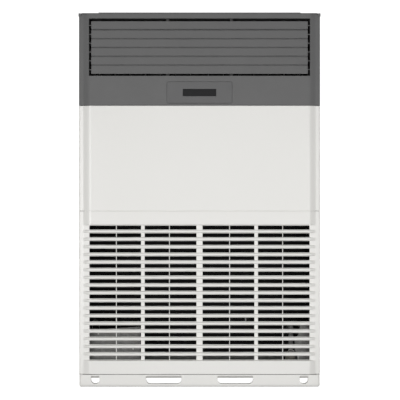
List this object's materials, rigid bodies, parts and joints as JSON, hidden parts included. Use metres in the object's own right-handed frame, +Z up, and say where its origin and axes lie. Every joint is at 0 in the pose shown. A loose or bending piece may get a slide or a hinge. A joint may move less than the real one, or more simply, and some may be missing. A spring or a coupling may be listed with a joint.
{
  "type": "floor standing cabinet air conditioner",
  "caption": "Tall floor standing air conditioner cabinet with a dark louvred outlet head, control panel, slotted return grille below and a skirt with holes.",
  "frame": {"origin": "middle of the footprint at floor level", "axes": "+Z up, +Y from the front to the back (the louvred front faces -Y), +X to the right seen from the front"},
  "size_m": [1.2084, 0.42, 1.8662],
  "materials": {
    "white_paint": "satin powder coat",
    "white_plastic": "satin moulded plastic",
    "grey_paint": "satin powder coat",
    "grey_plastic": "fine grained moulded plastic",
    "display": "glossy smoked window",
    "black_foam": "closed cell insulation foam",
    "galvanised": "galvanised sheet",
    "brass": "forged brass"
  },
  "bodies": {
    "cabinet": {"back_panel": "white_paint", "base_back": "white_paint", "base_front": "white_paint", "base_left": "white_paint", "base_pan": "galvanised", "base_right": "white_paint", "base_seal": "black_foam", "control_panel": "grey_plastic", "corner_post_left": "galvanised", "corner_post_right": "galvanised", "display_window": "display", "duct_floor": "grey_plastic", "duct_roof": "grey_plastic", "duct_side_left": "grey_plastic", "duct_side_right": "grey_plastic", "electrical_box": "galvanised", "foam_lining": "black_foam", "gas_pipe": "black_foam", "head_back": "grey_paint", "head_bezel": "grey_plastic", "head_side_left": "grey_paint", "head_side_right": "grey_paint", "liquid_pipe": "black_foam", "lower_front_panel": "white_plastic", "middle_shelf": "galvanised", "outlet_mullion_left": "grey_plastic", "outlet_mullion_right": "grey_plastic", "plenum_back": "black_foam", "plenum_floor": "black_foam", "plenum_left": "black_foam", "plenum_right": "black_foam", "plenum_roof": "black_foam", "sensor_clip": "galvanised", "service_valve": "brass", "side_panel_left": "white_paint", "side_panel_right": "white_paint", "top_lid": "grey_paint", "upper_front_panel": "white_plastic", "valve_plate": "galvanised"},
    "louvre_1": {"louvre_1": "grey_plastic"},
    "louvre_2": {"louvre_2": "grey_plastic"},
    "louvre_3": {"louvre_3": "grey_plastic"},
    "louvre_4": {"louvre_4": "grey_plastic"},
    "louvre_5": {"louvre_5": "grey_plastic"},
    "louvre_6": {"louvre_6": "grey_plastic"},
    "vane_01": {"vane_01": "grey_plastic"},
    "vane_02": {"vane_02": "grey_plastic"},
    "vane_03": {"vane_03": "grey_plastic"},
    "vane_04": {"vane_04": "grey_plastic"},
    "vane_05": {"vane_05": "grey_plastic"},
    "vane_06": {"vane_06": "grey_plastic"},
    "vane_07": {"vane_07": "grey_plastic"},
    "vane_08": {"vane_08": "grey_plastic"},
    "vane_09": {"vane_09": "grey_plastic"},
    "vane_10": {"vane_10": "grey_plastic"},
    "vane_11": {"vane_11": "grey_plastic"},
    "vane_12": {"vane_12": "grey_plastic"},
    "vane_13": {"vane_13": "grey_plastic"},
    "vane_14": {"vane_14": "grey_plastic"}
  },
  "joints": [
    {"name": "louvre_1_tilt", "type": "hinge", "parent": "cabinet", "child": "louvre_1", "pos_m": [0, -0.198, 1.8033], "axis": [1, 0, 0], "range_deg": [0, 90]},
    {"name": "louvre_2_tilt", "type": "hinge", "parent": "cabinet", "child": "louvre_2", "pos_m": [0, -0.198, 1.7593], "axis": [1, 0, 0], "range_deg": [0, 90]},
    {"name": "louvre_3_tilt", "type": "hinge", "parent": "cabinet", "child": "louvre_3", "pos_m": [0, -0.198, 1.7153], "axis": [1, 0, 0], "range_deg": [0, 90]},
    {"name": "louvre_4_tilt", "type": "hinge", "parent": "cabinet", "child": "louvre_4", "pos_m": [0, -0.198, 1.6713], "axis": [1, 0, 0], "range_deg": [0, 90]},
    {"name": "louvre_5_tilt", "type": "hinge", "parent": "cabinet", "child": "louvre_5", "pos_m": [0, -0.198, 1.6273], "axis": [1, 0, 0], "range_deg": [0, 90]},
    {"name": "louvre_6_tilt", "type": "hinge", "parent": "cabinet", "child": "louvre_6", "pos_m": [0, -0.198, 1.5833], "axis": [1, 0, 0], "range_deg": [0, 90]},
    {"name": "vane_01_swing", "type": "hinge", "parent": "cabinet", "child": "vane_01", "pos_m": [-0.503, -0.127, 1.6965], "axis": [0, 0, 1], "range_deg": [-35, 35]},
    {"name": "vane_02_swing", "type": "hinge", "parent": "cabinet", "child": "vane_02", "pos_m": [-0.427, -0.127, 1.6965], "axis": [0, 0, 1], "range_deg": [-35, 35]},
    {"name": "vane_03_swing", "type": "hinge", "parent": "cabinet", "child": "vane_03", "pos_m": [-0.35, -0.127, 1.6965], "axis": [0, 0, 1], "range_deg": [-35, 35]},
    {"name": "vane_04_swing", "type": "hinge", "parent": "cabinet", "child": "vane_04", "pos_m": [-0.274, -0.127, 1.6965], "axis": [0, 0, 1], "range_deg": [-35, 35]},
    {"name": "vane_05_swing", "type": "hinge", "parent": "cabinet", "child": "vane_05", "pos_m": [-0.198, -0.127, 1.6965], "axis": [0, 0, 1], "range_deg": [-35, 35]},
    {"name": "vane_06_swing", "type": "hinge", "parent": "cabinet", "child": "vane_06", "pos_m": [-0.121, -0.127, 1.6965], "axis": [0, 0, 1], "range_deg": [-35, 35]},
    {"name": "vane_07_swing", "type": "hinge", "parent": "cabinet", "child": "vane_07", "pos_m": [-0.045, -0.127, 1.6965], "axis": [0, 0, 1], "range_deg": [-35, 35]},
    {"name": "vane_08_swing", "type": "hinge", "parent": "cabinet", "child": "vane_08", "pos_m": [0.045, -0.127, 1.6965], "axis": [0, 0, 1], "range_deg": [-35, 35]},
    {"name": "vane_09_swing", "type": "hinge", "parent": "cabinet", "child": "vane_09", "pos_m": [0.121, -0.127, 1.6965], "axis": [0, 0, 1], "range_deg": [-35, 35]},
    {"name": "vane_10_swing", "type": "hinge", "parent": "cabinet", "child": "vane_10", "pos_m": [0.198, -0.127, 1.6965], "axis": [0, 0, 1], "range_deg": [-35, 35]},
    {"name": "vane_11_swing", "type": "hinge", "parent": "cabinet", "child": "vane_11", "pos_m": [0.274, -0.127, 1.6965], "axis": [0, 0, 1], "range_deg": [-35, 35]},
    {"name": "vane_12_swing", "type": "hinge", "parent": "cabinet", "child": "vane_12", "pos_m": [0.35, -0.127, 1.6965], "axis": [0, 0, 1], "range_deg": [-35, 35]},
    {"name": "vane_13_swing", "type": "hinge", "parent": "cabinet", "child": "vane_13", "pos_m": [0.427, -0.127, 1.6965], "axis": [0, 0, 1], "range_deg": [-35, 35]},
    {"name": "vane_14_swing", "type": "hinge", "parent": "cabinet", "child": "vane_14", "pos_m": [0.503, -0.127, 1.6965], "axis": [0, 0, 1], "range_deg": [-35, 35]}
  ],
  "couplings": [
    {"joint": "louvre_2_tilt", "follows": "louvre_1_tilt", "ratio": 1},
    {"joint": "louvre_3_tilt", "follows": "louvre_1_tilt", "ratio": 1},
    {"joint": "louvre_4_tilt", "follows": "louvre_1_tilt", "ratio": 1},
    {"joint": "louvre_5_tilt", "follows": "louvre_1_tilt", "ratio": 1},
    {"joint": "louvre_6_tilt", "follows": "louvre_1_tilt", "ratio": 1},
    {"joint": "vane_02_swing", "follows": "vane_01_swing", "ratio": 1},
    {"joint": "vane_03_swing", "follows": "vane_01_swing", "ratio": 1},
    {"joint": "vane_04_swing", "follows": "vane_01_swing", "ratio": 1},
    {"joint": "vane_05_swing", "follows": "vane_01_swing", "ratio": 1},
    {"joint": "vane_06_swing", "follows": "vane_01_swing", "ratio": 1},
    {"joint": "vane_07_swing", "follows": "vane_01_swing", "ratio": 1},
    {"joint": "vane_08_swing", "follows": "vane_01_swing", "ratio": 1},
    {"joint": "vane_09_swing", "follows": "vane_01_swing", "ratio": 1},
    {"joint": "vane_10_swing", "follows": "vane_01_swing", "ratio": 1},
    {"joint": "vane_11_swing", "follows": "vane_01_swing", "ratio": 1},
    {"joint": "vane_12_swing", "follows": "vane_01_swing", "ratio": 1},
    {"joint": "vane_13_swing", "follows": "vane_01_swing", "ratio": 1},
    {"joint": "vane_14_swing", "follows": "vane_01_swing", "ratio": 1}
  ]
}
